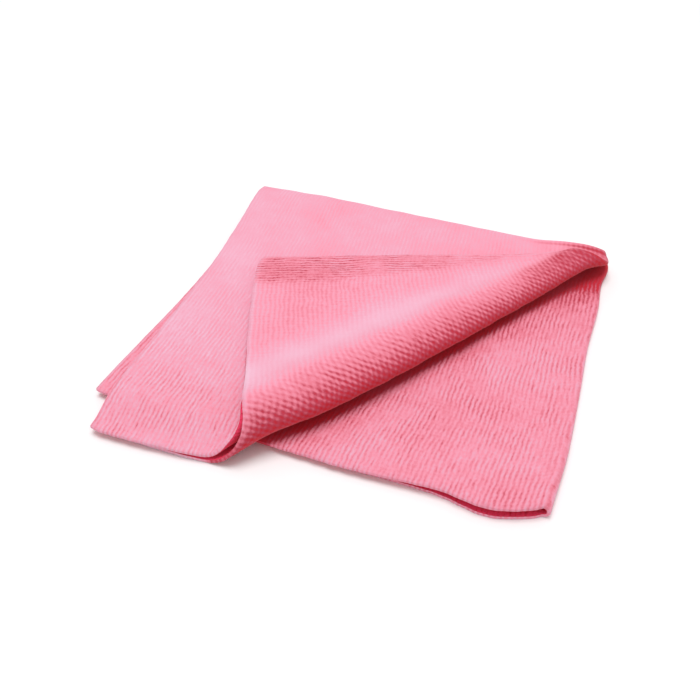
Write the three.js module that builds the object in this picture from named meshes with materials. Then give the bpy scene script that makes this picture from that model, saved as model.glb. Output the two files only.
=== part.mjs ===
// Ribbed cleaning cloth, folded in quarter, with one corner turned back over a soft roll
// Millimetres, Z up, the cloth lies on z = 0
import * as THREE from 'three'

// Cloth and stack
const THICK = 1.6 // sheet thickness
const PITCH = 2.7 // height from one layer's middle to the next
const LAYER_Z = [0, 1, 2, 3].map((i) => THICK / 2 + PITCH * i) // middle heights of the four layers
const MID_Z = (LAYER_Z[0] + LAYER_Z[3]) / 2 // height of the back fold's axis
const WIDTH = 200 // one folded panel, left cut edge to right fold
const DEPTH = 190 // one folded panel, front cut edge to back fold

// Panel outlines: corner points, then how far each side bows, evenly spaced along it
const LOWER = {
  frontLeft: [-99.5, -91.5],
  frontRight: [99.6, -94],
  backLeft: [-103.2, 90.4],
  backRight: [95.6, 86.3],
  left: [0, 2.1, 4.3, 4.6, 1.2, 0],
  right: [0, 2.7, 2.7, 2, 3.2, 0],
  front: [0, 0, 0, -1.2, -2.1, -2.4, -2.8, -2.4, -2.4, -5.3, 0],
  back: [0, 2.1, 1.3, 1.1, 0.8, 0],
}
const UPPER = {
  frontLeft: [-88.6, -112.8],
  frontRight: [112.4, -97.4],
  backLeft: [-103.2, 90.4],
  backRight: [92.4, 87.4],
  left: [0, 2, 3.7, 4.5, 2.8, 0],
  right: [0, 0, 0, 0, 0, 0],
  front: [0, -1.4, -2.6, -2.4, -1.2, -1.2, -2.2, -2.4, -2, -1.2, 0],
  back: [0, 1.9, 1.1, 0.7, 0.2, 0],
}
const CORNER_CUT = 2.6 // how far a soft corner is drawn in
const CORNER_LENGTH = 3 // how quickly the corner straightens
const CORNER_SOFT = 0.5 // the front left corner's share of that
const CORNER_SIDE = [0.6, -0.2] // the same for the back corners' sides, left and right

// Roll of the turned-back corner
const ROLL_ANGLE = THREE.MathUtils.degToRad(56.9) // direction of the roll in plan
const ROLL_START = [-24.2, -91.8] // point of the line where the cloth lifts off
const ROLL_LENGTH = 212 // from the front end to the back right corner
const ROLL_TAPER = [-60, ROLL_LENGTH + 10] // the roll tapers between these places along it
const ROLL_RADIUS_FRONT = 8.5
const ROLL_RADIUS_BACK = 4.6
const ROLL_RADIUS_MIN = 4.2
const ROLL_BULGE = [1.3, 7.6, 8.9, 8.3, 6.4, 5.4, 6] // extra reach outward, front end to back end
const BULGE_LEAD = 15 // the bulge table starts this far before the roll
const BULGE_FADE = 3 // how fast the bulge fades towards the back fold
const OVERTURN = 0.32 // angle past half a turn at which the flap comes down
const SETTLE_RADIUS = 28 // hollow where the flap settles on the panel
const SETTLE_LENGTH = 30 // the flap closes its last gap over this length
const FLAP_GAP = 0.6 // room under the flap
const FLAP_Z = LAYER_Z[3] + 2 * PITCH + FLAP_GAP // middle height of the flap's top layer
const SPREAD = 1.6 // how much further apart the two layers lie in the roll
const SPREAD_RADIUS = 4 // roll radius over which that grows
const SLIP = 0.15 // how freely the layers slide on each other round the roll

// Soft forms
const DROOP_GAP = 0.2 // the strip stops this short of the ground
const DROOP = LAYER_Z[2] - THICK / 2 - DROOP_GAP // drop of the overhanging front strip
const DROOP_Y = -90 // where the strip leaves the lower panels
const DROOP_RUN = 22 // length of its slope
const GAPE = 2 // how far the lower panels part at the front right
const GAPE_FROM = 0.5 // share of the width where the gape starts
const GAPE_DEPTH = 0.3 // share of the depth it reaches
const SWELL = 0.5 // gentle unevenness of the layers above the lowest one
const SWELL_SPAN = [92, 84] // half the plan size it fades out over
const SWELL_WAVE = [0.045, 0.03] // turns of its wave, in radians per mm
const LIFT = 4 // how far the roll's back end stands up
const LIFT_AT = [94, 84] // where, in plan
const LIFT_SPAN = 34 // how wide that reaches
const LIFT_RAMP = 0.12 // share of the depth over which it starts from the back fold

const SQUEEZE = 0.3 // taken from each side of the sheet where the roll meets the right fold
const SQUEEZE_A = [0.88, 0.08] // start and run, as shares of the width
const SQUEEZE_B = [0.6, 0.15] // start and run, as shares of the depth

const STEP = 1.3 // how far the upper layer's front edge overhangs the one below it, and is itself held back
const STEP_DEPTH = 0.09 // share of the depth over which that starts
const STEP_LOWER = [0.9, 0.3] // shares of the width where the overhang has gone, and over which it goes
const STEP_UPPER = [0.3, 0.28]

// Pulls that shape the corners: place and span in plan, then the move
// The rise grows with height up to the top panel and is less in the flap above it
const PULL_FADE = 0.7
const PULLS = [
  { at: [94, 87], span: 14, move: [4.8, 0, 0] },
  { at: [83, 90], span: 13.5, move: [0, 0, 3.4] },
]

const RIGHT_ARC = (Math.PI * (PITCH / 2)) / (2 * WIDTH) // half of the right fold, in panel widths
const BACK_ARC = (Math.PI * (2 * PITCH)) / 2 / (2 * DEPTH) // half of the back fold, in panel depths

const clamp = THREE.MathUtils.clamp
const ease = (t) => THREE.MathUtils.smoothstep(t, 0, 1)
const mix = THREE.MathUtils.lerp

// Smooth curve through an evenly spaced table, s from 0 to 1
function curve(table, s) {
  const last = table.length - 1
  const x = clamp(s, 0, 1) * last
  const i = Math.min(Math.floor(x), last - 1)
  const f = x - i
  const at = (k) => table[clamp(k, 0, last)]
  const [p, q, r, t] = [at(i - 1), at(i), at(i + 1), at(i + 2)]
  return q + 0.5 * f * (r - p + f * (2 * p - 5 * q + 4 * r - t + f * (3 * (q - r) + t - p)))
}

// Point of a flat panel: a runs left to right, b front to back
function panelPoint(panel, a, b) {
  const front = [0, 1].map((k) => mix(panel.frontLeft[k], panel.frontRight[k], a))
  const back = [0, 1].map((k) => mix(panel.backLeft[k], panel.backRight[k], a))
  const nearLeft = Math.exp((-a * WIDTH) / CORNER_LENGTH)
  const nearRight = Math.exp((-(1 - a) * WIDTH) / CORNER_LENGTH)
  const nearBack = Math.exp((-(1 - b) * DEPTH) / CORNER_LENGTH)
  const drawIn = CORNER_CUT * (nearRight + CORNER_SOFT * nearLeft)
  const x = mix(front[0], back[0], b) + (1 - a) * curve(panel.left, b) + a * curve(panel.right, b)
  const y = mix(front[1], back[1], b) + (1 - b) * (curve(panel.front, a) + drawIn) + b * curve(panel.back, a)
  return [x + CORNER_CUT * nearBack * mix(CORNER_SIDE[0], CORNER_SIDE[1], a), y]
}

// Section of the roll at a place along it, after a length of cloth past the lift-off line
// The bulge is less where the cloth still turns round its back fold
function rollSection(along, length, weight) {
  const share = clamp(along, ROLL_TAPER[0], ROLL_TAPER[1]) / ROLL_LENGTH
  const radius = Math.max(mix(ROLL_RADIUS_FRONT, ROLL_RADIUS_BACK, share), ROLL_RADIUS_MIN)
  const bulge = weight ** BULGE_FADE * curve(ROLL_BULGE, (along + BULGE_LEAD) / (ROLL_LENGTH + BULGE_LEAD))
  const rise = FLAP_Z - LAYER_Z[2]
  const roundEnd = radius * (Math.PI + OVERTURN)
  const roundTop = radius * (1 + Math.cos(OVERTURN))
  const hollowDrop = SETTLE_RADIUS * (1 - Math.cos(OVERTURN))
  const slope = Math.max((roundTop - hollowDrop - rise) / Math.sin(OVERTURN), 0)
  const slopeEnd = roundEnd + slope
  const hollowEnd = slopeEnd + SETTLE_RADIUS * OVERTURN
  let turn = clamp(length / radius, 0, Math.PI + OVERTURN)
  let out = radius * Math.sin(turn) + (turn < Math.PI ? bulge * Math.sin(turn) : 0)
  let up = radius * (1 - Math.cos(turn))
  const down = clamp(length - roundEnd, 0, slope)
  out -= down * Math.cos(OVERTURN)
  up -= down * Math.sin(OVERTURN)
  const level = clamp(length - slopeEnd, 0, SETTLE_RADIUS * OVERTURN) / SETTLE_RADIUS
  out -= SETTLE_RADIUS * (Math.sin(OVERTURN) - Math.sin(OVERTURN - level))
  up -= SETTLE_RADIUS * (Math.cos(OVERTURN - level) - Math.cos(OVERTURN))
  turn -= level
  const flat = Math.max(length - hollowEnd, 0)
  const left = roundTop - slope * Math.sin(OVERTURN) - hollowDrop - rise
  if (flat > 0) up = rise + left * Math.exp(-flat / SETTLE_LENGTH)
  return { out: out - flat, up, turn, radius }
}

// Bends a point of the upper pair round the roll; the roll tapers, so it turns about a far apex
const ROLL_DIR = [Math.cos(ROLL_ANGLE), Math.sin(ROLL_ANGLE)]
const ROLL_OUT = [ROLL_DIR[1], -ROLL_DIR[0]]
const APEX = (ROLL_RADIUS_FRONT * ROLL_LENGTH) / (ROLL_RADIUS_FRONT - ROLL_RADIUS_BACK)
const SLIP_STEPS = 10

function bend(x, y, height, spread, weight) {
  const slip = SLIP * spread
  const dx = x - ROLL_START[0]
  const dy = y - ROLL_START[1]
  const w = dx * ROLL_DIR[0] + dy * ROLL_DIR[1]
  const q = dx * ROLL_OUT[0] + dy * ROLL_OUT[1]
  const reach = Math.hypot(APEX - w, q)
  const along = APEX - reach
  const length = reach * Math.atan2(q, APEX - w) * weight
  if (length <= 0) return [x, y, height]
  const innerLayer = height > PITCH / 2 ? 1 : 0
  let path = length
  let section = rollSection(along, path, weight)
  let inset = height
  for (let k = 0; k < SLIP_STEPS; k += 1) {
    const open = Math.sin(Math.min(section.turn, Math.PI)) ** 2
    const room = clamp((section.radius - ROLL_RADIUS_BACK) / SPREAD_RADIUS, 0, 1)
    inset = height + innerLayer * SPREAD * open * spread * room
    path = length + slip * inset * section.turn
    section = rollSection(along, Math.max(path, 0), weight)
  }
  const out = section.out - inset * Math.sin(section.turn)
  const swing = out / reach
  const w2 = APEX - reach * Math.cos(swing)
  const q2 = reach * Math.sin(swing)
  return [
    ROLL_START[0] + w2 * ROLL_DIR[0] + q2 * ROLL_OUT[0],
    ROLL_START[1] + w2 * ROLL_DIR[1] + q2 * ROLL_OUT[1],
    section.up + inset * Math.cos(section.turn),
  ]
}

// Unevenness at a place in plan, nothing along the outline
function swellAt(x, y) {
  const across = Math.cos(clamp(x / SWELL_SPAN[0], -1, 1) * (Math.PI / 2))
  const deep = Math.cos(clamp(y / SWELL_SPAN[1], -1, 1) * (Math.PI / 2))
  return SWELL * (across * deep) ** 2 * (1 + Math.sin(SWELL_WAVE[0] * x + SWELL_WAVE[1] * y))
}

// Middle surface of the whole cloth
// u: 0 to 1 the outer layer of a pair, 1 to 2 the inner one, round the right fold
// v: 0 to 1 the lower pair, 1 to 2 the upper pair, round the back fold
function placeOf(u, v) {
  const s = u - 1
  const t = v - 1
  const a = 1 - Math.max(Math.abs(s) - RIGHT_ARC, 0) / (1 - RIGHT_ARC)
  const b = 1 - Math.max(Math.abs(t) - BACK_ARC, 0) / (1 - BACK_ARC)
  const sideTurn = (clamp(s / RIGHT_ARC, -1, 1) + 1) * (Math.PI / 2)
  const backTurn = (clamp(t / BACK_ARC, -1, 1) + 1) * (Math.PI / 2)
  return { a, b, sideTurn, backTurn }
}

function clothPoint(u, v) {
  const { a, b, sideTurn, backTurn } = placeOf(u, v)
  const upperShare = backTurn / Math.PI
  const gapeShare = ease((a - GAPE_FROM) / (1 - GAPE_FROM)) * ease((GAPE_DEPTH - b) / GAPE_DEPTH)
  const gape = v < 1 ? GAPE * gapeShare : 0
  const innerZ = LAYER_Z[1] + gape
  const foldRadius = (innerZ - LAYER_Z[0]) / 2
  const pairZ = LAYER_Z[0] + foldRadius * (1 - Math.cos(sideTurn))
  const backRadius = MID_Z - pairZ
  const low = panelPoint(LOWER, a, b)
  const high = panelPoint(UPPER, a, b)
  const layer = 1 - (2 * sideTurn) / Math.PI
  const edge = STEP * layer * ease((STEP_DEPTH - b) / STEP_DEPTH)
  low[1] += edge * ease((STEP_LOWER[0] - a) / STEP_LOWER[1])
  high[1] -= edge * ease((STEP_UPPER[0] - a) / STEP_UPPER[1])
  let x = mix(low[0], high[0], upperShare) + foldRadius * Math.sin(sideTurn)
  let y = mix(low[1], high[1], upperShare) + backRadius * Math.sin(backTurn)
  let z = MID_Z - backRadius * Math.cos(backTurn)
  const layered = clamp((z - LAYER_Z[0]) / PITCH, 0, 1)
  if (backTurn > Math.PI / 2) {
    const weight = ease(upperShare * 2 - 1)
    const bent = bend(x, y, z - LAYER_Z[2], ease((1 - a) * 2), weight)
    x = bent[0]
    y = bent[1]
    const lift = LIFT * Math.exp(-(((x - LIFT_AT[0]) ** 2 + (y - LIFT_AT[1]) ** 2) / LIFT_SPAN ** 2))
    const raised = lift * ease((v - 1 - BACK_ARC) / LIFT_RAMP)
    z = bent[2] + LAYER_Z[2] + raised - DROOP * ease((DROOP_Y - y) / DROOP_RUN) * weight
  }
  return new THREE.Vector3(x, y, z + swellAt(x, y) * layered)
}

// Sheet normal from neighbouring points
const PROBE = 2e-4

function clothNormal(u, v) {
  const du = clothPoint(Math.min(u + PROBE, 2), v).sub(clothPoint(Math.max(u - PROBE, 0), v))
  const dv = clothPoint(u, Math.min(v + PROBE, 2)).sub(clothPoint(u, Math.max(v - PROBE, 0)))
  return du.cross(dv).normalize()
}

// A point of the finished sheet, moved by the pulls
function pulled(point) {
  const moved = point.clone()
  const above = clamp((point.z - LAYER_Z[3]) / (2 * PITCH), 0, 1)
  const rise = clamp(point.z / LAYER_Z[3], 0, 1) - PULL_FADE * above
  for (const { at, span, move } of PULLS) {
    const near = Math.exp(-((point.x - at[0]) ** 2 + (point.y - at[1]) ** 2) / span ** 2)
    moved.x += move[0] * near
    moved.y += move[1] * near
    moved.z += move[2] * near * rise
  }
  return moved
}

// Half the sheet's thickness, less where the roll squeezes the right fold
function halfThick(u, v) {
  const { a, b, sideTurn, backTurn } = placeOf(u, v)
  const above = Math.max(1 - Math.cos(sideTurn), 1 - Math.cos(backTurn)) / 2
  const squeezed = ease((a - SQUEEZE_A[0]) / SQUEEZE_A[1]) * ease((b - SQUEEZE_B[0]) / SQUEEZE_B[1])
  return THICK / 2 - SQUEEZE * squeezed * above
}

// Stations of the mesh: coarse on the flats, close together on folds and on the roll
const RIGHT_STEPS = 5
const BACK_STEPS = 8
const ARC_SPACE = 8 // spacing that a fold's stations are given while the mesh is laid out
const FLAT_A = [0, 0.11, 0.22, 0.33, 0.44, 0.55, 0.66, 0.77, 0.87, 0.95, 0.985, 1]
const FLAT_B = [0, 0.08, 0.18, 0.3, 0.42, 0.54, 0.66, 0.78, 0.89, 0.97, 1]
const ROLLED_A = [0, 0.015, 0.09, 0.18, 0.23, 0.26, 0.28, 0.3, 0.32, 0.34, 0.36, 0.38, 0.4, 0.42, 0.44, 0.46,
  0.49, 0.53, 0.6, 0.7, 0.8, 0.9, 0.96, 1]
const ROLLED_B = [0, 0.022, 0.045, 0.068, 0.1, 0.16, 0.27, 0.39, 0.5, 0.6, 0.68, 0.72, 0.75, 0.775, 0.795,
  0.812, 0.829, 0.846, 0.863, 0.88, 0.897, 0.914, 0.931, 0.948, 0.965, 0.982, 1]
const ROLL_ALONG_STEP = 6.5
const ROLL_ACROSS = [-5, 0, 3.2, 6.4, 9.6, 12.8, 16, 19.2, 22.4, 25.6, 29, 34, 41, 50]
const ROLL_ALONG_FROM = -30 // the rows reach this far before the roll
const ROLL_ALONG_TO = ROLL_LENGTH + 10
const ROLL_INSIDE_A = [0.01, 0.985] // the rows stay between these shares of the panel
const ROLL_INSIDE_B = [0.01, 0.99]
const DROOP_A = [0.05, 0.1, 0.15, 0.2, 0.245]
const DROOP_ROWS = [1, 6] // first and last of the upper rows that the drooping strip uses
const FRONT_ROWS = [1, 5]
const BACK_ROWS = [0.985, 0.955]
const TUCK_A = [0.985, 0.97, 0.955]
const TUCK_FROM = 0.7

// Least distances between two stations
const GAP_EDGE = 0.1
const GAP_TUCK = 2
const GAP_ROLL = 2.6
const GAP_DROOP = 3
const GAP_LOWER = 4.2
const GAP_FLAT = 9

// Layout coordinates: millimetres, with the fold arcs widened
const layout = (u, arc, size, steps) => {
  const half = (steps * ARC_SPACE) / 2
  const s = u - 1
  const inside = clamp(s / arc, -1, 1) * half
  return inside + Math.sign(s) * Math.max(Math.abs(s) - arc, 0) * size
}
const layoutU = (u) => layout(u, RIGHT_ARC, WIDTH, RIGHT_STEPS)
const layoutV = (v) => layout(v, BACK_ARC, DEPTH, BACK_STEPS)
const paramOf = (share, side, arc) => 1 + side * (arc + (1 - share) * (1 - arc))

const stations = []

function addStation(u, v, gap) {
  const x = layoutU(u)
  const y = layoutV(v)
  const free = stations.every((p) => Math.hypot(p.x - x, p.y - y) > gap)
  if (free) stations.push({ u, v, x, y })
}

const arcParams = (arc, steps) => Array.from({ length: steps + 1 }, (_, k) => 1 - arc + (2 * arc * k) / steps)
const rightArc = arcParams(RIGHT_ARC, RIGHT_STEPS)
const backArc = arcParams(BACK_ARC, BACK_STEPS)
const lowerB = FLAT_B.slice(0, -1)
const upperB = ROLLED_B.slice(0, -1)
const flatA = FLAT_A.slice(0, -1)
const lowerV = lowerB.map((b) => paramOf(b, -1, BACK_ARC))
const upperV = upperB.map((b) => paramOf(b, 1, BACK_ARC))
const sides = [-1, 1]

// Right fold, back fold, then the cut edges
for (const u of rightArc) for (const v of [...lowerV, ...backArc, ...upperV]) addStation(u, v, GAP_EDGE)
for (const side of sides) {
  for (const a of flatA) {
    for (const v of backArc) addStation(paramOf(a, side, RIGHT_ARC), v, GAP_EDGE)
    addStation(paramOf(a, side, RIGHT_ARC), 0, GAP_EDGE)
  }
  for (const a of ROLLED_A.slice(0, -1)) addStation(paramOf(a, side, RIGHT_ARC), 2, GAP_EDGE)
  for (const v of [...lowerV, ...upperV]) addStation(paramOf(0, side, RIGHT_ARC), v, GAP_EDGE)
}

// Tight end of the roll, beside the right fold
const tuckB = upperB.filter((b) => b > TUCK_FROM)
for (const side of sides) {
  for (const a of TUCK_A) {
    for (const b of tuckB) addStation(paramOf(a, side, RIGHT_ARC), paramOf(b, 1, BACK_ARC), GAP_TUCK)
  }
}

// Roll: rows along it, laid in the flat panel and turned into panel shares
const INVERT_STEPS = 12
const INVERT_RANGE = [-0.2, 1.2] // shares it may search

function sharesOf(x, y) {
  let a = 0.5
  let b = 0.5
  for (let k = 0; k < INVERT_STEPS; k += 1) {
    const [px, py] = panelPoint(UPPER, a, b)
    a = clamp(a + (x - px) / WIDTH, INVERT_RANGE[0], INVERT_RANGE[1])
    b = clamp(b + (y - py) / DEPTH, INVERT_RANGE[0], INVERT_RANGE[1])
  }
  return [a, b]
}

const rollSteps = Math.ceil((ROLL_ALONG_TO - ROLL_ALONG_FROM) / ROLL_ALONG_STEP)
for (const side of sides) {
  for (let k = 0; k <= rollSteps; k += 1) {
    const along = ROLL_ALONG_FROM + k * ROLL_ALONG_STEP
    for (const across of ROLL_ACROSS) {
      const x = ROLL_START[0] + along * ROLL_DIR[0] + across * ROLL_OUT[0]
      const y = ROLL_START[1] + along * ROLL_DIR[1] + across * ROLL_OUT[1]
      const [a, b] = sharesOf(x, y)
      const insideA = a > ROLL_INSIDE_A[0] && a < ROLL_INSIDE_A[1]
      const insideB = b > ROLL_INSIDE_B[0] && b < ROLL_INSIDE_B[1]
      if (insideA && insideB) addStation(paramOf(a, side, RIGHT_ARC), paramOf(b, 1, BACK_ARC), GAP_ROLL)
    }
  }
}

// Drooping front strip, then the flats: whatever the finer rows leave open
for (const side of sides) {
  for (const a of DROOP_A) {
    for (const v of upperV.slice(...DROOP_ROWS)) addStation(paramOf(a, side, RIGHT_ARC), v, GAP_DROOP)
  }
}
for (const side of sides) {
  for (const a of flatA.slice(1)) {
    const u = paramOf(a, side, RIGHT_ARC)
    for (const b of BACK_ROWS) addStation(u, paramOf(b, 1, BACK_ARC), GAP_TUCK)
    for (const v of lowerV.slice(1)) addStation(u, v, GAP_LOWER)
    for (const v of upperV.slice(...FRONT_ROWS)) addStation(u, v, GAP_ROLL)
    for (const v of lowerV.slice(1)) addStation(u, 2 - v, GAP_FLAT)
  }
}

// Delaunay triangulation of the stations in layout coordinates
const FAR = 1e4 // corners of the first cell, well outside the cloth
const ON_CIRCLE = 1e-12 // share by which a point counts as inside a cell's circle

function triangulate(points) {
  const pts = [...points, { x: -FAR, y: -FAR }, { x: FAR, y: -FAR }, { x: 0, y: FAR }]
  const n = points.length
  const circle = (i, j, k) => {
    const [p, q, r] = [pts[i], pts[j], pts[k]]
    const d = 2 * (p.x * (q.y - r.y) + q.x * (r.y - p.y) + r.x * (p.y - q.y))
    const [pp, qq, rr] = [p, q, r].map((c) => c.x * c.x + c.y * c.y)
    const cx = (pp * (q.y - r.y) + qq * (r.y - p.y) + rr * (p.y - q.y)) / d
    const cy = (pp * (r.x - q.x) + qq * (p.x - r.x) + rr * (q.x - p.x)) / d
    return { i, j, k, cx, cy, rr: (p.x - cx) ** 2 + (p.y - cy) ** 2 }
  }
  let cells = [circle(n, n + 1, n + 2)]
  for (let m = 0; m < n; m += 1) {
    const { x, y } = pts[m]
    const edges = new Map()
    const keep = []
    for (const c of cells) {
      if ((c.cx - x) ** 2 + (c.cy - y) ** 2 >= c.rr * (1 - ON_CIRCLE)) {
        keep.push(c)
        continue
      }
      for (const [i, j] of [[c.i, c.j], [c.j, c.k], [c.k, c.i]]) {
        if (!edges.delete(`${j}_${i}`)) edges.set(`${i}_${j}`, [i, j])
      }
    }
    cells = keep
    for (const [i, j] of edges.values()) cells.push(circle(i, j, m))
  }
  return cells.filter((c) => c.i < n && c.j < n && c.k < n).map((c) => [c.i, c.j, c.k])
}

// A slight shift keeps the layout's square cells from having two equal diagonals
const SHIFT = 1e-4
const SHIFT_RATE = [13, 78] // uneven rates, so that neighbours shift differently
const LEAST_AREA = 1e-6
const laid = stations.map(({ x, y }) => {
  const wave = Math.sin(Math.abs(x) * SHIFT_RATE[0] + y * SHIFT_RATE[1])
  return { x: x + Math.sign(x) * SHIFT * wave, y }
})
const rim = (p) => p.u === 0 || p.u === 2 || p.v === 0 || p.v === 2
stations.forEach((p, i) => {
  if (rim(p)) laid[i].x = p.x
})
const faces = triangulate(laid).filter(([i, j, k]) => {
  const [p, q, r] = [stations[i], stations[j], stations[k]]
  return Math.abs((q.x - p.x) * (r.y - p.y) - (q.y - p.y) * (r.x - p.x)) > LEAST_AREA
})

// Closed sheet: one skin on each side of the middle surface and a rim along the cut edges
const count = stations.length
const vertices = []
for (const side of [1, -1]) {
  for (const { u, v } of stations) {
    vertices.push(pulled(clothPoint(u, v).addScaledVector(clothNormal(u, v), side * halfThick(u, v))))
  }
}
const triangles = []
const directed = new Set()
for (const [i, j, k] of faces) {
  triangles.push([i, j, k], [i + count, k + count, j + count])
  for (const [m, n] of [[i, j], [j, k], [k, i]]) directed.add(`${m}_${n}`)
}
for (const key of directed) {
  const [i, j] = key.split('_').map(Number)
  if (!directed.has(`${j}_${i}`)) triangles.push([j, i, i + count], [j, i + count, j + count])
}

// Frame: middle of the outline at the origin, underside on z = 0
const box = new THREE.Box3().setFromPoints(vertices)
const centre = box.getCenter(new THREE.Vector3())
const shift = new THREE.Vector3(-centre.x, -centre.y, -box.min.z)

const geometry = new THREE.BufferGeometry()
const flatPositions = vertices.flatMap((p) => p.clone().add(shift).toArray())
geometry.setAttribute('position', new THREE.Float32BufferAttribute(flatPositions, 3))
geometry.setIndex(triangles.flat())
geometry.computeVertexNormals()

const PINK = new THREE.Color(0xf094aa)
const material = new THREE.MeshStandardMaterial({ color: PINK, roughness: 0.95, metalness: 0 })
const cloth = new THREE.Mesh(geometry, material)
cloth.name = 'cloth'

const group = new THREE.Group()
group.name = 'folded_cloth'
group.add(cloth)

export default group
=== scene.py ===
"""Ribbed cleaning cloth, folded in quarter, with one corner turned back over a soft roll.

The folded shape is worked out in millimetres, as a surface over the unfolded cloth's own
coordinates u and v, and becomes one closed sheet in metres.
"""
import math

import bpy
import numpy as np
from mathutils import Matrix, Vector


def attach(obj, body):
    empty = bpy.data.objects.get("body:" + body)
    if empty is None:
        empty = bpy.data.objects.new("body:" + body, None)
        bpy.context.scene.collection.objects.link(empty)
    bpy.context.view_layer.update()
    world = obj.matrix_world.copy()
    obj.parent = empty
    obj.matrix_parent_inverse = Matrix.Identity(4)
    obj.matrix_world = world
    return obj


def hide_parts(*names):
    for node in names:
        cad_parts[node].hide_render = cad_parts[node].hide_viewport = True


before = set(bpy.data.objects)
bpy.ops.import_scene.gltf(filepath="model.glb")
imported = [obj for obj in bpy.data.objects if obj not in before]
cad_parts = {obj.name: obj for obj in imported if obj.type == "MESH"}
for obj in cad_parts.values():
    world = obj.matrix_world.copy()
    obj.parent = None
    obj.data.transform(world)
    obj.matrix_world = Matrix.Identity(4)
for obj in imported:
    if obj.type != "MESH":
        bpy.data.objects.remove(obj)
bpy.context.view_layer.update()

MM = 0.001

# Cloth and stack, in millimetres
THICK = 1.6
PITCH = 2.7
LAYER_Z = [THICK / 2 + PITCH * i for i in range(4)]
MID_Z = (LAYER_Z[0] + LAYER_Z[3]) / 2
WIDTH = 200.0
DEPTH = 190.0
ORIGIN = np.array([-0.51, 8.63, 0.0])  # from the fold's own axes to the middle of its outline

# Panel outlines: corner points, then how far each side bows
LOWER = {
    "front_left": (-99.5, -91.5), "front_right": (99.6, -94.0),
    "back_left": (-103.2, 90.4), "back_right": (95.6, 86.3),
    "left": (0, 2.1, 4.3, 4.6, 1.2, 0), "right": (0, 2.7, 2.7, 2.0, 3.2, 0),
    "front": (0, 0, 0, -1.2, -2.1, -2.4, -2.8, -2.4, -2.4, -5.3, 0), "back": (0, 2.1, 1.3, 1.1, 0.8, 0),
}
UPPER = {
    "front_left": (-88.6, -112.8), "front_right": (112.4, -97.4),
    "back_left": (-103.2, 90.4), "back_right": (92.4, 87.4),
    "left": (0, 2.0, 3.7, 4.5, 2.8, 0), "right": (0, 0, 0, 0, 0, 0),
    "front": (0, -1.4, -2.6, -2.4, -1.2, -1.2, -2.2, -2.4, -2.0, -1.2, 0), "back": (0, 1.9, 1.1, 0.7, 0.2, 0),
}
CORNER_CUT = 2.6  # how far a soft corner is drawn in
CORNER_LENGTH = 3.0  # how quickly the corner straightens
CORNER_SOFT = 0.5  # the left corners' share of that
CORNER_SIDE = (0.6, -0.2)  # the same for the back corners' sides, left and right

# Roll of the turned-back corner
ROLL_ANGLE = math.radians(56.9)
ROLL_START = np.array([-24.2, -91.8])
ROLL_LENGTH = 212.0
ROLL_RADIUS_FRONT = 8.5
ROLL_RADIUS_BACK = 4.6
ROLL_RADIUS_MIN = 4.2
ROLL_TAPER = (-60.0, ROLL_LENGTH + 10)  # the roll tapers between these places along it
ROLL_BULGE = (1.3, 7.6, 8.9, 8.3, 6.4, 5.4, 6.0)  # extra reach outward, front end to back end
BULGE_LEAD = 15.0  # the bulge table starts this far before the roll
BULGE_FADE = 3  # how fast the bulge fades towards the back fold
OVERTURN = 0.32  # radians past half a turn
SETTLE_RADIUS = 28.0
SETTLE_LENGTH = 30.0
FLAP_REST = 0.6
FLAP_Z = LAYER_Z[3] + 2 * PITCH + FLAP_REST
SPREAD = 1.6  # how far the two layers open apart on the roll
SPREAD_RADIUS = 4.0
SLIP = 0.15  # how far one layer slips over the other, as a share of the turn

# Soft forms
DROOP_REST = 0.2
DROOP = LAYER_Z[2] - THICK / 2 - DROOP_REST
DROOP_Y = -90.0
DROOP_RUN = 22.0
GAPE = 2.0
GAPE_FROM = 0.5
GAPE_DEPTH = 0.3
SWELL = 0.5
SWELL_SPAN = (92.0, 84.0)
SWELL_WAVES = (0.045, 0.03)
LIFT = 4.0
LIFT_AT = (94.0, 84.0)
LIFT_SPAN = 34.0
LIFT_RAMP = 0.12
SQUEEZE = 0.3
SQUEEZE_A = (0.88, 0.08)
SQUEEZE_B = (0.6, 0.15)
STEP = 1.3
STEP_DEPTH = 0.09
STEP_LOWER = (0.9, 0.3)
STEP_UPPER = (0.3, 0.28)

# Pulls that shape the corners: place and span in plan, then the move
# The rise grows with height up to the top panel and is less in the flap above it
PULL_FADE = 0.7
PULLS = (
    ((94.0, 87.0), 14.0, (4.8, 0, 0)),
    ((83.0, 90.0), 13.5, (0, 0, 3.4)),
)

RIGHT_ARC = math.pi * (PITCH / 2) / (2 * WIDTH)
BACK_ARC = math.pi * (2 * PITCH) / 2 / (2 * DEPTH)


def ease(t):
    t = np.clip(t, 0, 1)
    return t * t * (3 - 2 * t)


def mix(a, b, t):
    return a + (b - a) * t


def curve(table, s):
    """Smooth curve through an evenly spaced table, s from 0 to 1."""
    table = np.asarray(table, float)
    last = len(table) - 1
    x = np.clip(s, 0, 1) * last
    i = np.minimum(x.astype(int), last - 1)
    f = x - i
    p, q, r, t = (table[np.clip(i + k, 0, last)] for k in (-1, 0, 1, 2))
    return q + 0.5 * f * (r - p + f * (2 * p - 5 * q + 4 * r - t + f * (3 * (q - r) + t - p)))


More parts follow.
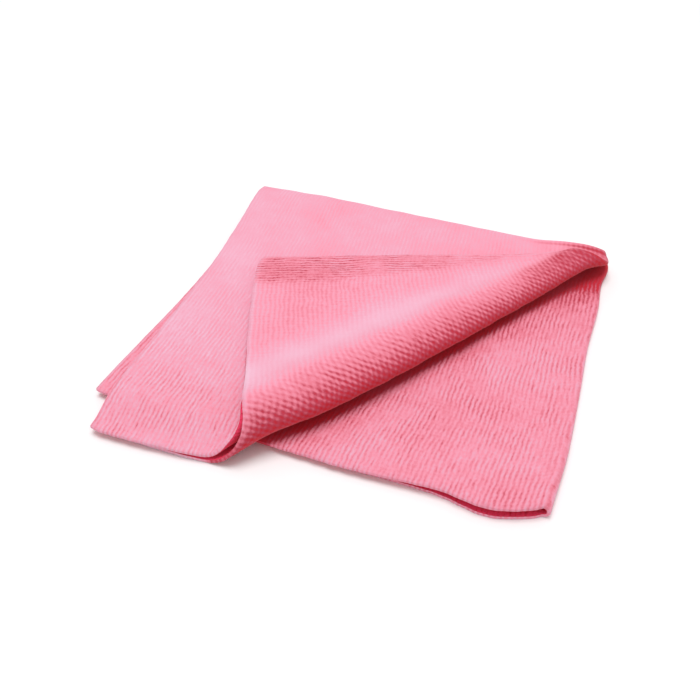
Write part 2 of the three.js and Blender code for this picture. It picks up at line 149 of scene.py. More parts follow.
def panel_point(panel, a, b):
    """Point of a flat panel: a runs left to right, b front to back."""
    front = [mix(panel["front_left"][k], panel["front_right"][k], a) for k in (0, 1)]
    back = [mix(panel["back_left"][k], panel["back_right"][k], a) for k in (0, 1)]
    near_left = np.exp(-a * WIDTH / CORNER_LENGTH)
    near_right = np.exp(-(1 - a) * WIDTH / CORNER_LENGTH)
    near_back = np.exp(-(1 - b) * DEPTH / CORNER_LENGTH)
    draw_in = CORNER_CUT * (near_right + CORNER_SOFT * near_left)
    x = mix(front[0], back[0], b) + (1 - a) * curve(panel["left"], b) + a * curve(panel["right"], b)
    y = mix(front[1], back[1], b) + (1 - b) * (curve(panel["front"], a) + draw_in)
    x = x + CORNER_CUT * near_back * mix(CORNER_SIDE[0], CORNER_SIDE[1], a)
    return x, y + b * curve(panel["back"], a)


def roll_section(along, length, weight):
    """Section of the roll at a place along it, after a length of cloth past the lift-off line."""
    share = np.clip(along, ROLL_TAPER[0], ROLL_TAPER[1]) / ROLL_LENGTH
    radius = np.maximum(mix(ROLL_RADIUS_FRONT, ROLL_RADIUS_BACK, share), ROLL_RADIUS_MIN)
    bulge = weight**BULGE_FADE * curve(ROLL_BULGE, (along + BULGE_LEAD) / (ROLL_LENGTH + BULGE_LEAD))
    rise = FLAP_Z - LAYER_Z[2]
    round_end = radius * (math.pi + OVERTURN)
    round_top = radius * (1 + math.cos(OVERTURN))
    hollow_drop = SETTLE_RADIUS * (1 - math.cos(OVERTURN))
    slope = np.maximum((round_top - hollow_drop - rise) / math.sin(OVERTURN), 0)
    slope_end = round_end + slope
    hollow_end = slope_end + SETTLE_RADIUS * OVERTURN
    turn = np.clip(length / radius, 0, math.pi + OVERTURN)
    out = radius * np.sin(turn) + np.where(turn < math.pi, bulge * np.sin(turn), 0)
    up = radius * (1 - np.cos(turn))
    down = np.clip(length - round_end, 0, slope)
    out = out - down * math.cos(OVERTURN)
    up = up - down * math.sin(OVERTURN)
    level = np.clip(length - slope_end, 0, SETTLE_RADIUS * OVERTURN) / SETTLE_RADIUS
    out = out - SETTLE_RADIUS * (math.sin(OVERTURN) - np.sin(OVERTURN - level))
    up = up - SETTLE_RADIUS * (np.cos(OVERTURN - level) - math.cos(OVERTURN))
    turn = turn - level
    flat = np.maximum(length - hollow_end, 0)
    left = round_top - slope * math.sin(OVERTURN) - hollow_drop - rise
    up = np.where(flat > 0, rise + left * np.exp(-flat / SETTLE_LENGTH), up)
    return out - flat, up, turn, radius


ROLL_DIR = np.array([math.cos(ROLL_ANGLE), math.sin(ROLL_ANGLE)])
ROLL_OUT = np.array([ROLL_DIR[1], -ROLL_DIR[0]])
APEX = ROLL_RADIUS_FRONT * ROLL_LENGTH / (ROLL_RADIUS_FRONT - ROLL_RADIUS_BACK)
SLIP_STEPS = 10


def bend(x, y, height, spread, weight):
    """Bends points of the upper pair round the roll, which tapers, so it turns about a far apex."""
    dx, dy = x - ROLL_START[0], y - ROLL_START[1]
    w = dx * ROLL_DIR[0] + dy * ROLL_DIR[1]
    q = dx * ROLL_OUT[0] + dy * ROLL_OUT[1]
    reach = np.hypot(APEX - w, q)
    along = APEX - reach
    length = reach * np.arctan2(q, APEX - w) * weight
    slip = SLIP * spread
    inner = height > PITCH / 2
    path = length
    inset = height
    out, up, turn, radius = roll_section(along, np.maximum(path, 0), weight)
    for _ in range(SLIP_STEPS):
        opened = np.sin(np.minimum(turn, math.pi)) ** 2
        room = np.clip((radius - ROLL_RADIUS_BACK) / SPREAD_RADIUS, 0, 1)
        inset = height + inner * SPREAD * opened * spread * room
        path = length + slip * inset * turn
        out, up, turn, radius = roll_section(along, np.maximum(path, 0), weight)
    swing = (out - inset * np.sin(turn)) / reach
    w2 = APEX - reach * np.cos(swing)
    q2 = reach * np.sin(swing)
    bent = length > 0
    return (
        np.where(bent, ROLL_START[0] + w2 * ROLL_DIR[0] + q2 * ROLL_OUT[0], x),
        np.where(bent, ROLL_START[1] + w2 * ROLL_DIR[1] + q2 * ROLL_OUT[1], y),
        np.where(bent, up + inset * np.cos(turn), height),
        np.where(bent, path / radius, 0),
    )


def place_of(u, v):
    s, t = u - 1, v - 1
    a = 1 - np.maximum(np.abs(s) - RIGHT_ARC, 0) / (1 - RIGHT_ARC)
    b = 1 - np.maximum(np.abs(t) - BACK_ARC, 0) / (1 - BACK_ARC)
    side_turn = (np.clip(s / RIGHT_ARC, -1, 1) + 1) * math.pi / 2
    back_turn = (np.clip(t / BACK_ARC, -1, 1) + 1) * math.pi / 2
    return a, b, side_turn, back_turn


def cloth_point(u, v):
    """Middle surface, and how far it has gone round the roll, in radians of the roll's own radius.

    u: 0 to 1 outer layer, 1 to 2 inner one; v: 0 to 1 lower pair, 1 to 2 upper.
    """
    a, b, side_turn, back_turn = place_of(u, v)
    upper = back_turn / math.pi
    opening = ease((a - GAPE_FROM) / (1 - GAPE_FROM)) * ease((GAPE_DEPTH - b) / GAPE_DEPTH)
    gape = np.where(v < 1, GAPE * opening, 0)
    fold_radius = (LAYER_Z[1] + gape - LAYER_Z[0]) / 2
    back_radius = MID_Z - LAYER_Z[0] - fold_radius * (1 - np.cos(side_turn))
    low, high = panel_point(LOWER, a, b), panel_point(UPPER, a, b)
    edge = STEP * (1 - 2 * side_turn / math.pi) * ease((STEP_DEPTH - b) / STEP_DEPTH)
    low = (low[0], low[1] + edge * ease((STEP_LOWER[0] - a) / STEP_LOWER[1]))
    high = (high[0], high[1] - edge * ease((STEP_UPPER[0] - a) / STEP_UPPER[1]))
    x = mix(low[0], high[0], upper) + fold_radius * np.sin(side_turn)
    y = mix(low[1], high[1], upper) + back_radius * np.sin(back_turn)
    z = MID_Z - back_radius * np.cos(back_turn)
    layered = np.clip((z - LAYER_Z[0]) / PITCH, 0, 1)
    on_top = back_turn > math.pi / 2
    weight = np.where(on_top, ease(upper * 2 - 1), 0)
    bx, by, bz, wrap = bend(x, y, z - LAYER_Z[2], ease((1 - a) * 2), weight)
    lift = LIFT * np.exp(-((bx - LIFT_AT[0]) ** 2 + (by - LIFT_AT[1]) ** 2) / LIFT_SPAN**2)
    raised = lift * ease((v - 1 - BACK_ARC) / LIFT_RAMP)
    bz = bz + LAYER_Z[2] + raised - DROOP * ease((DROOP_Y - by) / DROOP_RUN) * weight
    x, y, z = np.where(on_top, bx, x), np.where(on_top, by, y), np.where(on_top, bz, z)
    across = np.cos(np.clip(x / SWELL_SPAN[0], -1, 1) * math.pi / 2)
    deep = np.cos(np.clip(y / SWELL_SPAN[1], -1, 1) * math.pi / 2)
    swell = SWELL * (across * deep) ** 2 * (1 + np.sin(SWELL_WAVES[0] * x + SWELL_WAVES[1] * y))
    return np.stack([x, y, z + swell * layered], -1), np.where(on_top, wrap, 0)


def half_thick(u, v):
    a, b, side_turn, back_turn = place_of(u, v)
    above = np.maximum(1 - np.cos(side_turn), 1 - np.cos(back_turn)) / 2
    squeeze = ease((a - SQUEEZE_A[0]) / SQUEEZE_A[1]) * ease((b - SQUEEZE_B[0]) / SQUEEZE_B[1])
    return THICK / 2 - SQUEEZE * squeeze * above


def pulled(points):
    """Points of the finished sheet, moved by the pulls."""
    x, y, z = points[..., 0], points[..., 1], points[..., 2]
    moved = points.copy()
    above = np.clip((z - LAYER_Z[3]) / (2 * PITCH), 0, 1)
    rise = np.clip(z / LAYER_Z[3], 0, 1) - PULL_FADE * above
    for at, span, move in PULLS:
        near = np.exp(-((x - at[0]) ** 2 + (y - at[1]) ** 2) / span**2)
        moved[..., 0] += move[0] * near
        moved[..., 1] += move[1] * near
        moved[..., 2] += move[2] * near * rise
    return moved


WAVE_RANGE = 2.6


def waves(x, y, seed, count, shortest):
    """Smooth seeded unevenness, about -1 to 1, from a few crossing waves."""
    rng = np.random.default_rng(seed)
    total = np.zeros_like(x)
    for _ in range(count):
        angle, phase = rng.uniform(0, math.tau, 2)
        length = shortest * rng.uniform(1, WAVE_RANGE)
        total += np.sin((x * math.cos(angle) + y * math.sin(angle)) * math.tau / length + phase)
    return total / math.sqrt(count)


def lines(arc, size, coarse_low, coarse_high, arc_steps):
    """Grid lines of u or v: coarse up to the fold, close together round it, then as asked."""
    edge = 1 - arc
    low = np.linspace(0, edge, max(int(edge * size / coarse_low), 2) + 1)
    round_fold = np.linspace(edge, 1 + arc, arc_steps + 1)
    high = np.linspace(1 + arc, 2, max(int(edge * size / coarse_high), 2) + 1)
    return np.concatenate([low, round_fold[1:], high[1:]])


# Millimetres between grid lines before and after a fold, then the steps round the fold
U_GRID = (1.75, 1.65, 8)
V_GRID = (3.2, 1.6, 12)
u_lines = lines(RIGHT_ARC, WIDTH, *U_GRID)
v_lines = lines(BACK_ARC, DEPTH, *V_GRID)
U, V = np.meshgrid(u_lines, v_lines, indexing="ij")
NU, NV = U.shape

PROBE = 2e-4  # step in u and v that finds the surface's directions
middle, wrap = cloth_point(U, V)
du = cloth_point(np.minimum(U + PROBE, 2), V)[0] - cloth_point(np.maximum(U - PROBE, 0), V)[0]
dv = cloth_point(U, np.minimum(V + PROBE, 2))[0] - cloth_point(U, np.maximum(V - PROBE, 0))[0]
normal = np.cross(du, dv)
normal /= np.linalg.norm(normal, axis=-1, keepdims=True)
du /= np.linalg.norm(du, axis=-1, keepdims=True)
dv /= np.linalg.norm(dv, axis=-1, keepdims=True)
thick = half_thick(U, V)

# A slight unevenness of the upper pair, which dies out at the cut edges
RUFFLE = 0.12
RUFFLE_LENGTH = 9.0
RUFFLE_FREE = 12
ruffle = RUFFLE * waves(U * WIDTH, V * DEPTH, seed=3, count=7, shortest=RUFFLE_LENGTH)
free = np.minimum.reduce([U, 2 - U, V, 2 - V])
middle = middle + normal * (ruffle * (V > 1) * ease(free * RUFFLE_FREE))[..., None]

# Skins: side 0 is the face that lies inside the fold, side 1 the one that shows
skins = [middle + normal * thick[..., None], middle - normal * thick[..., None]]
index = np.arange(NU * NV).reshape(NU, NV)
points = [skins[0].reshape(-1, 3), skins[1].reshape(-1, 3)]

# Bake map: the hidden side below, the side that shows above it, the rims at the top
BAKE_MARGIN = 0.004
BAKE_SPLIT = 0.36
BAKE_RIM = 0.02
BAKE_RIM_FROM = 0.3
BAKE_RIM_SPAN = 0.6


def bake_uv(uv, side):
    low, high = ((BAKE_MARGIN, BAKE_SPLIT), (BAKE_SPLIT + BAKE_MARGIN, 1 - BAKE_RIM))[side]
    across = mix(BAKE_MARGIN, 1 - BAKE_MARGIN, uv[:, 0] / 2)
    return np.stack([across, mix(low, high, uv[:, 1] / 2)], -1)


quads = np.stack([index[:-1, :-1], index[1:, :-1], index[1:, 1:], index[:-1, 1:]], -1).reshape(-1, 4)
total = NU * NV
all_quads = [quads, quads[:, ::-1] + total]
grid_uv = np.stack([U, V], -1).reshape(-1, 2)
corner_cloth = [grid_uv[quads.ravel()], grid_uv[quads[:, ::-1].ravel()]]
corner_bake = [bake_uv(corner_cloth[0], 0), bake_uv(corner_cloth[1], 1)]

# Rounded rims along the cut edges, with a slightly ragged line
RIM_STEPS = 3
RIM_OUT = 0.4  # how far a rim stands out, in half thicknesses
RAGGED_MEAN = 0.9
RAGGED = 0.35
RAGGED_LENGTH = 3.0
border = np.concatenate([index[:, 0], index[-1, 1:], index[-2::-1, -1], index[0, -2:0:-1]])
outward = np.concatenate([-dv[:, 0], du[-1, 1:], dv[-2::-1, -1], -du[0, -2:0:-1]])
flat_middle, flat_normal, flat_thick = middle.reshape(-1, 3), normal.reshape(-1, 3), thick.reshape(-1)
rim_length = np.concatenate([[0], np.cumsum(np.linalg.norm(np.diff(flat_middle[border], axis=0), axis=1))])
ragged = RAGGED_MEAN + RAGGED * waves(rim_length, rim_length * 0, seed=11, count=9, shortest=RAGGED_LENGTH)
rings = [border]
for k in range(1, RIM_STEPS + 1):
    angle = math.pi * k / (RIM_STEPS + 1)
    ring = (
        flat_middle[border]
        + flat_normal[border] * (flat_thick[border] * math.cos(angle))[:, None]
        + outward * (RIM_OUT * flat_thick[border] * math.sin(angle) * ragged)[:, None]
    )
    rings.append(np.arange(len(border)) + 2 * total + (k - 1) * len(border))
    points.append(ring)
rings.append(border + total)
for k in range(RIM_STEPS + 1):
    here, there = rings[k], rings[k + 1]
    rim = np.stack([np.roll(here, -1), here, there, np.roll(there, -1)], -1)
    along = np.arange(len(border) + 1) / len(border)
    level = 1 - BAKE_RIM + BAKE_RIM * (BAKE_RIM_FROM + BAKE_RIM_SPAN * np.array([k, k + 1]) / (RIM_STEPS + 1))
    rim_uv = np.stack([
        np.stack([along[1:], np.full(len(border), level[0])], -1),
        np.stack([along[:-1], np.full(len(border), level[0])], -1),
        np.stack([along[:-1], np.full(len(border), level[1])], -1),
        np.stack([along[1:], np.full(len(border), level[1])], -1),
    ], 1)
    all_quads.append(rim)
    edge_uv = grid_uv[border]
    next_uv = np.roll(edge_uv, -1, 0)
    corner_cloth.append(np.stack([next_uv, edge_uv, edge_uv, next_uv], 1).reshape(-1, 2))
    corner_bake.append(rim_uv.reshape(-1, 2))

points = pulled(np.concatenate(points)) + ORIGIN
points[:, 2] = np.maximum(points[:, 2], 0)
quads = np.concatenate(all_quads)

mesh = bpy.data.meshes.new("folded_cloth")
mesh.vertices.add(len(points))
mesh.vertices.foreach_set("co", (points * MM).ravel())
mesh.loops.add(quads.size)
mesh.loops.foreach_set("vertex_index", quads.ravel())
mesh.polygons.add(len(quads))
mesh.polygons.foreach_set("loop_start", np.arange(0, quads.size, 4))
mesh.polygons.foreach_set("use_smooth", np.ones(len(quads), bool))
weave_map = mesh.uv_layers.new(name="Weave")
weave_map.data.foreach_set("uv", (np.concatenate(corner_cloth) * [WIDTH, DEPTH]).ravel())
bake_map = mesh.uv_layers.new(name="OFBake")
bake_map.data.foreach_set("uv", np.concatenate(corner_bake).ravel())
mesh.update(calc_edges=True)
mesh.validate()


def per_vertex(name, grid, hidden=None):
    """Stores a number for each vertex of the side that shows, and one for the whole hidden side."""
    shown = grid.reshape(-1)
    inside = shown if hidden is None else np.full(total, hidden)
    values = np.concatenate([inside, shown, np.tile(shown[border], RIM_STEPS)])
    layer = mesh.attributes.new(name, "FLOAT", "POINT")
    layer.data.foreach_set("value", values.astype(np.float32))


# Tones of the panels and bands, with painted shades and a painted highlight: 0 is deep pink, 1 is pale
LOWER_TONE = 0.32
TOP_TONE = 0.50
TOP_GAIN = 0.22  # how much paler the top panel gets towards its left side
TOP_GAIN_RUN = (1.95, 0.3)
TOP_GAIN_RIGHT = 0.9
TOP_GAIN_BACK = 0.55
HIDDEN_TONE = -1.1  # saturated, as light that comes through the pile makes the slots between layers
DEEPEST_TONE = -0.52
FLAP_TONE = 0.39
BAND_SHADE_TONE = 0.12  # painted shade on the band along the flap's folded edge, and its rise towards the tip
BAND_RISE = 0.3
BAND_WIDTH = (0.05, 0.135)
BAND_SOFT = 0.035
BAND_FROM = (2.9, 0.4)
# Painted highlight: a pale band on the flap just past the roll's crown
CREST_HIGHLIGHT_TONE = 0.86
CREST_AT = 5.2  # wrap at the middle of the painted highlight past the roll's crown, and its spread
CREST_SPREAD = 1.5
CREST_FADE = 0.75  # share that the painted highlight loses towards the tip, from a place along the roll and over a run
CREST_FADE_RUN = (0.5, 0.35)
# Painted shade on the roll's front, which faces partly downwards
ROLL_FRONT_SHADE_TONE = -0.22
ROLL_RUN = (3.6, 1.7)  # wrap at which the painted shade on the roll's front ends, and over how much
ROLL_START_RUN = 0.4
FOOT_SHADE = 0.40  # how much deeper the painted shade at the roll's foot is
FOOT_SHADE_RUN = (2.3, 1.2)
# Painted shade on the flap towards the tip
FLAP_TIP_SHADE_TONE = -0.28
TIP_SHARE = 0.8
TIP_ALONG = (0.62, 0.25)
TIP_RUN = (4.5, 1.5)
TIP_AT = (96.0, 86.0)  # the corner's place in plan, and how far it shades the lower panel
TIP_SPREAD = 36.0
TIP_SHADE = 0.75
TIP_TOP_SHARE = 0.9  # the top panel's share of that shade
FOLD_SHADE = 0.35  # lines along the flap's folded edge and the top panel's edge, near the tip
FOLD_SPREAD = 2.5
FOLD_RUN = (1.4, 0.25)
STRIP_SHADE = 0.45
STRIP_AT = 1.03
STRIP_SPREAD = 1.1
STRIP_RUN = (0.76, 0.14)
CREASE_START = -2.4  # mm beyond the roll where the painted crease shade is still deepest
CREASE_RUN = (3.0, 8.0)  # mm over which it fades, at the front end and at the tip
CREASE_LEFT = 4.0  # mm left of the lift-off line where the painted crease shade begins
CREASE_SHADE = 0.64
BESIDE_SHADE = 0.22  # a wider, weaker shade beside the crease
BESIDE_RUN = 16.0
EDGE_SPREAD = 1.5  # mm of paler pile along the cut edges
EDGE_GAIN = (0.05, 0.35)  # on the panels and on the flap

# How strongly the knit shows
LOWER_GRIP = 0.88
TOP_GRIP = (0.95, 0.3)  # from the front to the back
TOP_GRIP_RUN = (1.9, 0.6)
FLAP_GRIP = 0.5
BAND_GRIP = 0.95
CREST_GRIP = 0.15
ROLL_GRIP = (0.26, 0.62)  # from the foot to the crown
ROLL_GRIP_RUN = (1.4, 1.6)
CREASE_GRIP_LOSS = 0.8
TIP_GRIP_LOSS = 0.4


def falling(value, run):
    """1 well below run[0], easing to 0 there over run[1]."""
    return ease((run[0] - value) / run[1])


def rising(value, run):
    """0 up to run[0], then easing to 1 over run[1]."""
    return ease((value - run[0]) / run[1])


# Regions of the cloth
flap = ease((V - 1) / 0.02) * ease((U - 1) / 0.01)
top_panel = ease((V - 0.99) / 0.02) * (1 - flap)
band_edge = mix(BAND_WIDTH[0], BAND_WIDTH[1], np.clip((V - 1.3) / 0.5, 0, 1))
band = ease((band_edge - np.abs(U - 1)) / BAND_SOFT) * flap * rising(wrap, BAND_FROM)
edge_mm = np.minimum.reduce([U * WIDTH, (2 - U) * WIDTH, V * DEPTH, (2 - V) * DEPTH])
cut_edge = np.exp(-edge_mm / EDGE_SPREAD)

# Places beside and along the roll, and the lower panel's painted shade towards the crease under it
plan = middle[..., :2] - ROLL_START
beside_roll = plan @ ROLL_OUT
along_roll = np.clip(plan @ ROLL_DIR / ROLL_LENGTH, 0, 1)
roll_reach = mix(ROLL_RADIUS_FRONT, ROLL_RADIUS_BACK, along_roll) + curve(
    ROLL_BULGE, (along_roll * ROLL_LENGTH + BULGE_LEAD) / (ROLL_LENGTH + BULGE_LEAD)
)
past_roll = beside_roll - roll_reach
under_roll = ease((beside_roll + CREASE_LEFT) / CREASE_LEFT)
crease_run = mix(CREASE_RUN[0], CREASE_RUN[1], along_roll**3)
crease_shade = ease(1 - (past_roll - CREASE_START) / crease_run) * under_roll * (V < 1)
beside_crease = ease(1 - past_roll / BESIDE_RUN) * under_roll

# Painted highlight past the roll's crown, fading towards the tip
crest_highlight = np.exp(-(((wrap - CREST_AT) / CREST_SPREAD) ** 2)) * flap
crest_highlight = crest_highlight * (1 - CREST_FADE * rising(along_roll, CREST_FADE_RUN))
# The roll's front: where it carries painted shade and where its stitches open
roll_front = falling(wrap, ROLL_RUN) * ease(wrap / ROLL_START_RUN) * flap
# Painted shade on the flap near the tip
flap_tip_shade = rising(along_roll, TIP_ALONG) * falling(wrap, TIP_RUN) * flap
tip_shade = np.exp(-np.sum((middle[..., :2] - TIP_AT) ** 2, -1) / TIP_SPREAD**2)
fold_line = np.exp(-np.abs(U - 1) * WIDTH / FOLD_SPREAD) * falling(V, FOLD_RUN) * flap
strip_line = np.exp(-(((V - STRIP_AT) * DEPTH / STRIP_SPREAD) ** 2)) * rising(U, STRIP_RUN) * top_panel

# Tone of the pile at each vertex, with the painted shades and painted highlight mixed in
top_gain = falling(V, TOP_GAIN_RUN) * (1 - TOP_GAIN_RIGHT * U) * mix(TOP_GAIN_BACK, 1, np.clip((V - 1) / 0.7, 0, 1))
top_tone = TOP_TONE - TIP_TOP_SHARE * TIP_SHADE * tip_shade**3 + TOP_GAIN * top_gain
tone = mix(LOWER_TONE - TIP_SHADE * tip_shade - BESIDE_SHADE * beside_crease, top_tone, top_panel)
tone = mix(tone, FLAP_TONE, flap)
tone = mix(tone, BAND_SHADE_TONE + BAND_RISE * np.clip((1.7 - V) / 0.5, 0, 1), band)
tone = mix(tone, CREST_HIGHLIGHT_TONE, crest_highlight)
tone = mix(tone, FLAP_TIP_SHADE_TONE, TIP_SHARE * flap_tip_shade)
tone = mix(tone, ROLL_FRONT_SHADE_TONE, roll_front) - FOOT_SHADE * falling(wrap, FOOT_SHADE_RUN) * roll_front
tone = tone - CREASE_SHADE * crease_shade - FOLD_SHADE * fold_line - STRIP_SHADE * strip_line
tone = tone + cut_edge * mix(EDGE_GAIN[0], EDGE_GAIN[1], flap)

# How strongly the knit shows at each vertex
grip = mix(LOWER_GRIP, mix(TOP_GRIP[0], TOP_GRIP[1], falling(V, TOP_GRIP_RUN)), top_panel)
grip = mix(grip, FLAP_GRIP, flap)
grip = mix(grip, BAND_GRIP, band)
grip = mix(grip, CREST_GRIP, crest_highlight)
grip = mix(grip, mix(ROLL_GRIP[0], ROLL_GRIP[1], rising(wrap, ROLL_GRIP_RUN)), roll_front)
grip = grip * (1 - CREASE_GRIP_LOSS * crease_shade) * (1 - TIP_GRIP_LOSS * tip_shade)

per_vertex("Tone", np.maximum(tone, DEEPEST_TONE), HIDDEN_TONE)
per_vertex("Grip", grip)
per_vertex("Opened", roll_front)
per_vertex("Crossed", flap * (1 - band) * rising(wrap, (2.8, 0.3)))

cloth = bpy.data.objects.new("folded_cloth", mesh)
bpy.context.scene.collection.objects.link(cloth)

# Fabric
RIB = 2.05  # mm from one rib to the next
STITCH = 2.2  # mm from one stitch to the next along a rib


class Nodes:
    """Short names for building a node tree."""

    def __init__(self, name):
        self.material = bpy.data.materials.new(name)
        self.material.use_nodes = True
        self.tree = self.material.node_tree
        self.tree.nodes.clear()

    def add(self, kind, **settings):
        node = self.tree.nodes.new(kind)
        for key, value in settings.items():
            setattr(node, key, value)
        return node

    def feed(self, socket, value):
        if isinstance(value, bpy.types.NodeSocket):
            self.tree.links.new(value, socket)
        elif value is not None:
            socket.default_value = value

    def math(self, kind, a, b=None, c=None):
        node = self.add("ShaderNodeMath", operation=kind)
        for socket, value in zip(node.inputs, (a, b, c)):
            self.feed(socket, value)
        return node.outputs[0]

    def noise(self, vector, scale, detail=2.0, rough=0.5):
        node = self.add("ShaderNodeTexNoise")
        self.feed(node.inputs["Vector"], vector)
        node.inputs["Scale"].default_value = scale
        node.inputs["Detail"].default_value = detail
        node.inputs["Roughness"].default_value = rough
        return node.outputs["Fac"]

    def ramp(self, value, low, high, to_low=0.0, to_high=1.0):
        node = self.add("ShaderNodeMapRange", interpolation_type="SMOOTHSTEP")
        self.feed(node.inputs["Value"], value)
        for key, number in (("From Min", low), ("From Max", high), ("To Min", to_low), ("To Max", to_high)):
            node.inputs[key].default_value = number
        return node.outputs["Result"]

    def attribute(self, name):
        return self.add("ShaderNodeAttribute", attribute_name=name).outputs["Fac"]


def colour(red, green, blue):
    return (red, green, blue, 1.0)


KNIT_TONE = 0.42  # change of tone between the ribs and the gaps
TONES = (
    (-1.0, (0.84, 0.055, 0.135)),
    (-0.6, (0.56, 0.011, 0.024)),
    (-0.3, (0.52, 0.056, 0.094)),
    (0.0, (0.78, 0.192, 0.264)),
    (0.4, (0.88, 0.305, 0.412)),
    (0.6, (0.832, 0.352, 0.468)),
    (1.0, (0.835, 0.455, 0.582)),
    (1.3, (0.86, 0.54, 0.66)),
)

n = Nodes("ribbed_microfibre")
uv = n.add("ShaderNodeUVMap", uv_map="Weave").outputs["UV"]
split = n.add("ShaderNodeSeparateXYZ")
n.feed(split.inputs[0], uv)
x, y = split.outputs[0], split.outputs[1]
# Tone holds the pile's colour together with painted shade and painted highlight
tone_at = n.attribute("Tone")
grip_at = n.attribute("Grip")
opened_at = n.attribute("Opened")
crossed_at = n.attribute("Crossed")


def around_zero(value, size):
    return n.math("MULTIPLY", n.math("SUBTRACT", value, 0.5), size)


def wave(position):
    return n.math("SINE", n.math("MULTIPLY", position, math.tau))


# Ribs wander, and each one's stitches are set at their own place
x_set = n.math("ADD", x, around_zero(n.noise(uv, 0.035, 2.0), 3.0))
x_set = n.math("ADD", x_set, around_zero(n.noise(uv, 0.3, 2.0), 1.3))
y_set = n.math("ADD", y, around_zero(n.noise(uv, 0.12, 2.0), 2.6))
rib_at = n.math("DIVIDE", x_set, RIB)
own = n.add("ShaderNodeTexWhiteNoise", noise_dimensions="1D")
n.feed(own.inputs["W"], n.math("FLOOR", rib_at))
own_place = n.math("MULTIPLY", own.outputs["Value"], n.math("MULTIPLY_ADD", crossed_at, -0.3, 0.42))
stitch_at = n.math("ADD", n.math("DIVIDE", y_set, STITCH), own_place)
rib = n.math("MULTIPLY", wave(rib_at), -1.0)
stitch = wave(stitch_at)

# Grains of pile, drawn out along the ribs, and rubbed places where the ribs nearly vanish
drawn = n.add("ShaderNodeCombineXYZ")
n.feed(drawn.inputs[0], x)
n.feed(drawn.inputs[1], n.math("MULTIPLY", y, 0.24))
streak = around_zero(n.noise(drawn.outputs[0], 0.8, 3.0, 0.6), 3.0)
grain = around_zero(n.noise(uv, 1.5, 3.0, 0.75), 2.6)
rubbed = n.ramp(n.noise(uv, 0.07, 3.0, 0.6), 0.38, 0.62, 1.0, 0.35)
rib_size = n.math("MULTIPLY", rubbed, n.math("MULTIPLY_ADD", crossed_at, -0.6, 0.8))
rib_size = n.math("MAXIMUM", rib_size, n.math("MULTIPLY", opened_at, 0.8))
stitch_size = n.math("MULTIPLY_ADD", crossed_at, 0.56, 0.1)
stitch_size = n.math("MULTIPLY_ADD", opened_at, 0.42, stitch_size)
knit = n.math("ADD", n.math("MULTIPLY", rib, rib_size), n.math("MULTIPLY", stitch, stitch_size))
knit = n.math("ADD", knit, n.math("MULTIPLY", streak, 0.9))
knit = n.math("ADD", knit, n.math("MULTIPLY", grain, 0.7))

# Colour: deep pink between the stitches, paler where the pile catches the light
mottle = around_zero(n.noise(uv, 0.03, 4.0, 0.6), 0.8)
mottle = n.math("MULTIPLY", mottle, n.math("MULTIPLY_ADD", opened_at, -0.8, 1.0))
relief = n.math("MULTIPLY", knit, grip_at)
shade = n.math("MULTIPLY_ADD", relief, KNIT_TONE, n.math("ADD", tone_at, mottle))
place = n.math("DIVIDE", n.math("SUBTRACT", shade, TONES[0][0]), TONES[-1][0] - TONES[0][0])
dye = n.add("ShaderNodeValToRGB")
for _ in TONES[2:]:
    dye.color_ramp.elements.new(0.5)
for element, (level, tint) in zip(dye.color_ramp.elements, TONES):
    element.position = (level - TONES[0][0]) / (TONES[-1][0] - TONES[0][0])
    element.color = colour(*tint)
n.feed(dye.inputs[0], place)

shader = n.add("ShaderNodeBsdfPrincipled")
n.feed(shader.inputs["Base Color"], dye.outputs[0])
shader.inputs["Roughness"].default_value = 0.92
shader.inputs["Specular IOR Level"].default_value = 0.18
shader.inputs["Sheen Weight"].default_value = 0.2
shader.inputs["Sheen Roughness"].default_value = 0.45
shader.inputs["Sheen Tint"].default_value = colour(1.0, 0.86, 0.90)
bump = n.add("ShaderNodeBump")
bump.inputs["Strength"].default_value = 0.5
bump.inputs["Distance"].default_value = 0.3 * MM
n.feed(bump.inputs["Height"], relief)
n.feed(shader.inputs["Normal"], bump.outputs["Normal"])
output = n.add("ShaderNodeOutputMaterial")
n.feed(output.inputs["Surface"], shader.outputs["BSDF"])
mesh.materials.append(n.material)

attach(cloth, "root")
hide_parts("cloth")

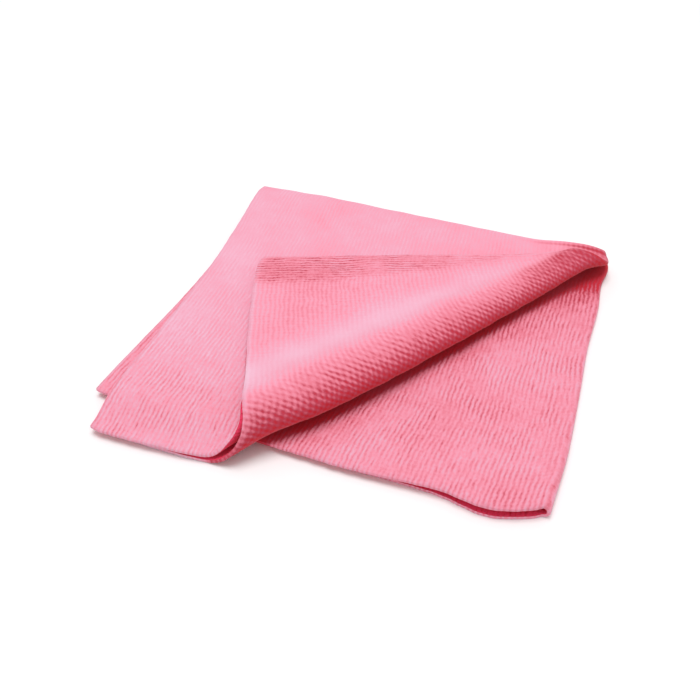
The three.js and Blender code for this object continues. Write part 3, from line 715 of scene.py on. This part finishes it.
# Floor
FLOOR_HALF = 3.0
floor_mesh = bpy.data.meshes.new("floor")
floor_corners = [(FLOOR_HALF * a, FLOOR_HALF * b, 0) for a, b in ((-1, -1), (1, -1), (1, 1), (-1, 1))]
floor_mesh.from_pydata(floor_corners, [], [(0, 1, 2, 3)])
floor = bpy.data.objects.new("floor", floor_mesh)
bpy.context.scene.collection.objects.link(floor)
paper = bpy.data.materials.new("paper")
paper.use_nodes = True
paper_shader = paper.node_tree.nodes["Principled BSDF"]
paper_shader.inputs["Base Color"].default_value = colour(0.93, 0.93, 0.93)
paper_shader.inputs["Roughness"].default_value = 0.9
floor_mesh.materials.append(paper)

# Light
world = bpy.data.worlds.new("studio")
bpy.context.scene.world = world
world.use_nodes = True
background = world.node_tree.nodes["Background"]
background.inputs["Color"].default_value = colour(1.0, 1.0, 1.0)
background.inputs["Strength"].default_value = 0.64


def soft_light(name, place, size, power):
    lamp = bpy.data.lights.new(name, "AREA")
    lamp.shape = "DISK"
    lamp.size = size
    lamp.energy = power
    holder = bpy.data.objects.new(name, lamp)
    holder.location = Vector(place)
    holder.rotation_euler = (-Vector(place)).to_track_quat("-Z", "Y").to_euler()
    bpy.context.scene.collection.objects.link(holder)


soft_light("key_light", (-0.06, 0.06, 2.05), 1.3, 24.0)

# Camera at the photograph's angle
CAMERA_TURN = math.radians(20.31)
CAMERA_RISE = math.radians(39.72)
CAMERA_DISTANCE = 409.8 * MM
CAMERA_TARGET = Vector(ORIGIN + [-4.7, -22.8, 0]) * MM
FOCAL_PIXELS = 860.6
IMAGE_PIXELS = 700
SENSOR = 36.0
camera_data = bpy.data.cameras.new("camera")
camera_data.sensor_width = SENSOR
camera_data.lens = FOCAL_PIXELS / IMAGE_PIXELS * SENSOR
camera_data.clip_start = 0.01
camera = bpy.data.objects.new("camera", camera_data)
bpy.context.scene.collection.objects.link(camera)
back_way = Vector((
    math.sin(CAMERA_TURN) * math.cos(CAMERA_RISE),
    -math.cos(CAMERA_TURN) * math.cos(CAMERA_RISE),
    math.sin(CAMERA_RISE),
))
camera.location = CAMERA_TARGET + back_way * CAMERA_DISTANCE
camera.rotation_euler = (-back_way).to_track_quat("-Z", "Y").to_euler()
bpy.context.scene.camera = camera
bpy.context.scene.view_settings.view_transform = "Standard"

bpy.context.view_layer.update()
